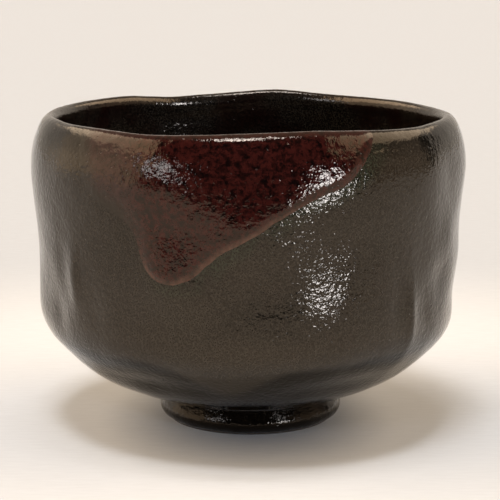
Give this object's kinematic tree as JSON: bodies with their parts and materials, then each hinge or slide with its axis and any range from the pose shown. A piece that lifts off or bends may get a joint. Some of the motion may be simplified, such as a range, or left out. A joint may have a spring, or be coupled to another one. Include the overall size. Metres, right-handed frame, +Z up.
{
  "type": "matcha bowl",
  "caption": "Hand-formed round tea bowl with a low foot ring, a gently pinched waist and an uneven lip, in black glaze with an iron-red curtain at the front.",
  "frame": {"origin": "on the resting plane, under the middle of the bowl's outline seen from above", "axes": "+Z up, square to the resting plane; -Y is the front, the side with the iron-red curtain; +X is to the right of someone facing the front"},
  "size_m": [0.1208, 0.1206, 0.0884],
  "materials": {
    "clay": "bare fired raku clay, dark grey-brown and gritty",
    "black_glaze": "thick glossy black glaze with a fine orange-peel surface",
    "red_glaze": "glossy iron-red glaze over black, lumpy, with a paler brown-pink edge"
  },
  "bodies": {
    "root": {"clay_body": "clay", "foot_ring": "clay", "outer_glaze": "black_glaze", "inner_glaze": "black_glaze", "foot_ring_glaze": "black_glaze", "foot_well_glaze": "black_glaze", "red_glaze_curtain": "red_glaze"}
  },
  "joints": []
}
